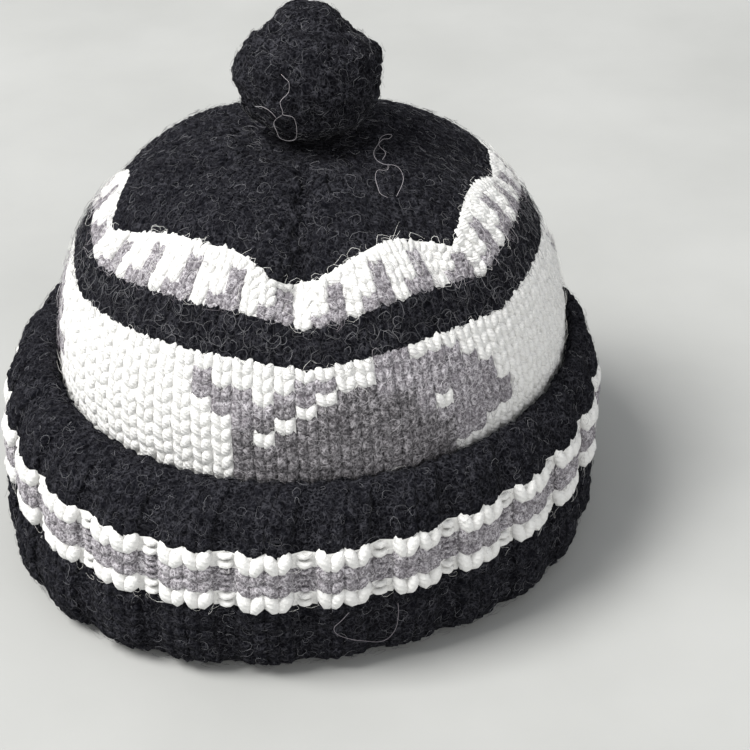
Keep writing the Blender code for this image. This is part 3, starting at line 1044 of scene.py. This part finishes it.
# %% [markdown]
# The hairs grow from a guide, a plain grid laid over the outside of each piece. Its
# faces carry the yarn below them and how hairy that yarn is: the grey wool shows the
# most hairs, and the white, which is softer, the fewest.

# %% Hairs on crown, cuff and pompom
HAIRINESS = {"black": 1.0, "charcoal": 1.5, "grey": 1.4, "white": 0.75}


def mark(mesh, yarns):
    """Keeps the yarn of each face, and how hairy it is."""
    keep(mesh, "yarn", "INT", "FACE", [YARNS.index(yarn) for yarn in yarns])
    keep(mesh, "hairiness", "FLOAT", "FACE", [HAIRINESS[yarn] for yarn in yarns])


def guide(name, surface, edge, rows, azimuths, yarn):
    """A grid over a surface whose faces carry a yarn and its hairiness."""
    count = len(azimuths)
    points = [surface(azimuth, edge(row)) for row in rows for azimuth in azimuths]
    faces = [face for level in range(len(rows) - 1) for face in ring_faces(count, level, level + 1)]
    mesh = bpy.data.meshes.new(name)
    mesh.from_pydata(points, [], faces)
    mark(mesh, [yarn(row, index) for row in rows[:-1] for index in range(count)])
    return mesh


PER_SQUARE_CM = 10000.0
CUFF_DENSITY, POMPOM_DENSITY = 7.2 * PER_SQUARE_CM, 22.0 * PER_SQUARE_CM
LONG = {"Length": 4.2 * MM, "Thickness": 0.055 * MM, "Height": 0.5 * MM,
        "Curl": 6.0 * MM, "Turns": 0.75}
SHORT = {"Length": 3.2 * MM, "Thickness": 0.042 * MM, "Height": 0.4 * MM,
         "Curl": 5.0 * MM, "Turns": 0.75}
crown_columns = [FIRST_COLUMN + COLUMN_STEP * (column - 0.5) for column in range(COLUMNS)]
hair_pieces = []
for title, rows, density, sizes in (("figure", range(-len(FIGURE), 1), 11.0, LONG),
                                    ("band", range(0, ZIGZAG_TOP + 1), 25.0, LONG),
                                    ("top", range(ZIGZAG_TOP, CROWN_TOP + 1), 10.5, SHORT)):
    grid = guide(title + "_guide", crown_row, row_edge, rows, crown_columns, crown_yarn)
    hair_pieces.append(grow(HAIR_TREE, grid, f"crown_{title}_hairs",
                            Density=density * PER_SQUARE_CM, **sizes))
cuff_columns = [(rib + 0.5 + part / 3) * RIB_STEP for rib in range(RIBS) for part in range(3)]
cuff_guide = guide("cuff_guide", on_cuff, cuff_edge_arc, CUFF_ROWS[1:], cuff_columns,
                   lambda row, column: STRIPE.get(row, "black"))
cuff_hairs = grow(HAIR_TREE, cuff_guide, "cuff_hairs", Density=CUFF_DENSITY, **SHORT)
ball_guide = pompom.data.copy()
mark(ball_guide, ["black"] * len(ball_guide.polygons))
pompom_hairs = grow(HAIR_TREE, ball_guide, "pompom_hairs", Density=POMPOM_DENSITY, **SHORT)

# %% [markdown]
# Some fibres came loose and stand off the cap in long curls, each one different. No
# scattering gives those, so they are laid one by one, as a smooth curve through a few
# points in millimetres, where the photo shows them.

# %% A few long curls
CROWN_CURLS = (
    ((24.1, -19.2, 129.2), (25.2, -15.8, 129.7), (23.6, -13.3, 130.4), (23.5, -10.8, 130.8),
     (24.5, -7.5, 130.8), (26.4, -5.3, 130.4), (27.6, -5.4, 130.1), (26.6, -7.9, 130.3),
     (24.7, -9.2, 130.7), (23.1, -12.5, 130.7), (21.7, -16.6, 130.2), (22.4, -19.5, 129.3),
     (24.4, -21.0, 128.7), (27.4, -20.7, 128.1), (29.0, -21.8, 127.4), (29.8, -24.3, 126.4),
     (29.6, -26.7, 125.7), (28.6, -29.4, 124.8), (27.5, -31.6, 123.8)),
    ((25.6, -21.1, 128.4), (25.5, -22.7, 127.9), (24.3, -23.3, 127.9), (22.5, -23.6, 128.1),
     (21.7, -26.2, 127.3), (22.2, -30.1, 126.2), (22.9, -32.8, 125.4), (24.9, -33.1, 124.3)),
)
POMPOM_CURLS = (
    ((-4.4, -20.2, 157.1), (-3.4, -20.9, 156.2), (-2.3, -21.8, 155.3), (-2.3, -21.8, 152.8),
     (-3.0, -21.8, 151.5), (-4.4, -22.0, 150.2), (-4.9, -22.2, 149.0), (-4.2, -22.4, 146.6),
     (-4.2, -22.3, 145.6), (-1.6, -22.1, 144.8), (-0.7, -21.6, 142.9), (-0.4, -20.8, 139.7),
     (-0.8, -18.5, 136.1), (-2.8, -17.5, 135.0), (-5.3, -18.5, 136.5), (-6.2, -19.0, 139.1),
     (-6.9, -18.8, 141.0), (-6.3, -19.9, 143.0), (-4.6, -21.3, 144.9)),
    ((-12.0, -18.4, 146.5), (-10.0, -19.6, 146.9), (-7.8, -20.7, 146.0), (-6.2, -20.7, 144.0)),
)
CUFF_CURLS = (
    ((10.9, -99.2, 27.4), (8.8, -99.5, 24.8), (6.6, -99.8, 22.4), (7.5, -99.7, 19.8),
     (11.3, -98.9, 17.2), (14.7, -98.0, 15.7), (19.6, -95.6, 13.0), (22.5, -94.9, 13.9),
     (24.6, -94.6, 17.5), (25.2, -94.6, 23.1), (25.0, -94.6, 26.5)),
)
CURL_THICKNESS = 0.06 * MM


def curls(name, lines, paleness):
    """Loose fibres, each a thin tube along a smooth curve."""
    data = bpy.data.curves.new(name, "CURVE")
    data.dimensions = "3D"
    data.bevel_depth = CURL_THICKNESS
    data.bevel_resolution = 0
    data.use_fill_caps = True
    for line in lines:
        places = through(line, 4) * MM
        spline = data.splines.new("POLY")
        spline.points.add(len(places) - 1)
        for point, place in zip(spline.points, places):
            point.co = (*place, 1.0)
    mesh = plain(put(name + "_helper", data), name)
    keep(mesh, "shade", "FLOAT", "POINT", [paleness] * len(mesh.vertices))
    mesh.materials.append(HAIRS["grey"])
    return put(name, mesh)


crown_curls = curls("crown_curls", CROWN_CURLS, 0.3)
cuff_curls = curls("cuff_curls", CUFF_CURLS, 0.1)
pompom_curls = curls("pompom_curls", POMPOM_CURLS, 0.4)

# %% [markdown]
# Every piece rides on the cap's one body, and the pieces are listed under the cap's
# three slots. The cloth walls and the ball stand for the three solids, which are
# hidden. The pompom is stuffed tight with its own yarn.

# %% Attach the pieces to the cap and hide the solids
WORN_ON = "root"
SLOTS = {
    "crown_wool": (crown_back, *crown_pieces, *hair_pieces, crown_curls),
    "cuff_wool": (cuff_back, *cuff_pieces, cuff_hairs, cuff_curls),
    "pompom_wool": (pompom, pompom_hairs, pompom_curls),
}
for slot, pieces in SLOTS.items():
    for piece in pieces:
        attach(piece, WORN_ON)
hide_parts("crown")
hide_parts("cuff")
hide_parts("pompom")
print(sum(len(pieces) for pieces in SLOTS.values()), "pieces ride on the cap")

# %% [markdown]
# The cap stands on a pale floor in soft daylight. A large window, high up on the left
# and a little to the front, gives most of the light and leaves a soft shadow on the
# right. A faint light from the room in front keeps the white wool white there, and a
# dim world fills in the rest. The colours are shown with the Standard view transform,
# because the usual one greys white wool and pale floor alike.

# %% Floor and light
FLOOR_REACH, PATCH_SIZE = 6.0, 90.0  # metres to each side, and mm
FLOOR_DARK, FLOOR_PALE = (0.342, 0.345, 0.335), (0.384, 0.387, 0.377)


def stage_floor():
    """A pale floor, much larger than the view."""
    mesh = bpy.data.meshes.new("floor")
    ways = ((-1, -1), (1, -1), (1, 1), (-1, 1))
    corners = [(x * FLOOR_REACH, y * FLOOR_REACH, 0.0) for x, y in ways]
    mesh.from_pydata(corners, [], [(0, 1, 2, 3)])
    floor = put("floor", mesh)
    material, surface, start = new_material("pale_floor", 0.9, 0.2)
    patches = noise(start.node("ShaderNodeTexCoord", give="Object"), PATCH_SIZE, 6.0)
    mix_colour(patches.between(*MOTTLE_BAND), FLOOR_DARK, FLOOR_PALE).into(surface["Base Color"])
    mesh.materials.append(material)
    return floor


def area_light(name, place, target, size, power, colour):
    """A square light that looks at a point."""
    data = bpy.data.lights.new(name, "AREA")
    data.size = size
    data.energy = power
    data.color = colour
    light = put(name, data)
    light.location = place
    light.rotation_euler = (Vector(target) - Vector(place)).to_track_quat("-Z", "Y").to_euler()


stage_floor()
LIT = (0.0, 0.0, 0.06)                # the middle of the cap, where both lights look
WARM, COOL = (1.0, 0.99, 0.97), (0.95, 0.97, 1.0, 1.0)
WINDOW_POWER, ROOM_POWER, DAYLIGHT = 250.0, 30.0, 0.62
area_light("window", (-2.15, -0.6, 3.2), LIT, 1.7, WINDOW_POWER, WARM)
area_light("room", (0.9, -2.6, 1.1), LIT, 2.0, ROOM_POWER, WARM)
world = bpy.data.worlds.new("daylight")
world.use_nodes = True
sky = world.node_tree.nodes["Background"].inputs
sky["Color"].default_value = COOL
sky["Strength"].default_value = DAYLIGHT
bpy.context.scene.world = world
bpy.context.scene.view_settings.view_transform = "Standard"
print("floor, window and daylight set")

# %% [markdown]
# The camera stands two thirds of a metre away and looks down at the cap, turned a
# little to its right so that the cap sits left of the middle, as in the photo. It was
# found by fitting the cuff's outline and its stripe, and it needs no lens shift.

# %% Camera
CAMERA_PLACE = MIDDLE + Vector((0.0, -522.4 * MM, 386.8 * MM))
CAMERA_YAW, CAMERA_PITCH = -2.651, -33.364        # degrees
SENSOR_WIDTH, LENS = 36.0, 93.6                   # mm

camera_data = bpy.data.cameras.new("camera")
camera_data.sensor_width = SENSOR_WIDTH
camera_data.lens = LENS
camera_data.clip_start = 0.05
camera = put("camera", camera_data)
camera.location = CAMERA_PLACE
camera.rotation_euler = (math.radians(90.0 + CAMERA_PITCH), 0.0, math.radians(CAMERA_YAW))
bpy.context.scene.camera = camera
print("camera placed")
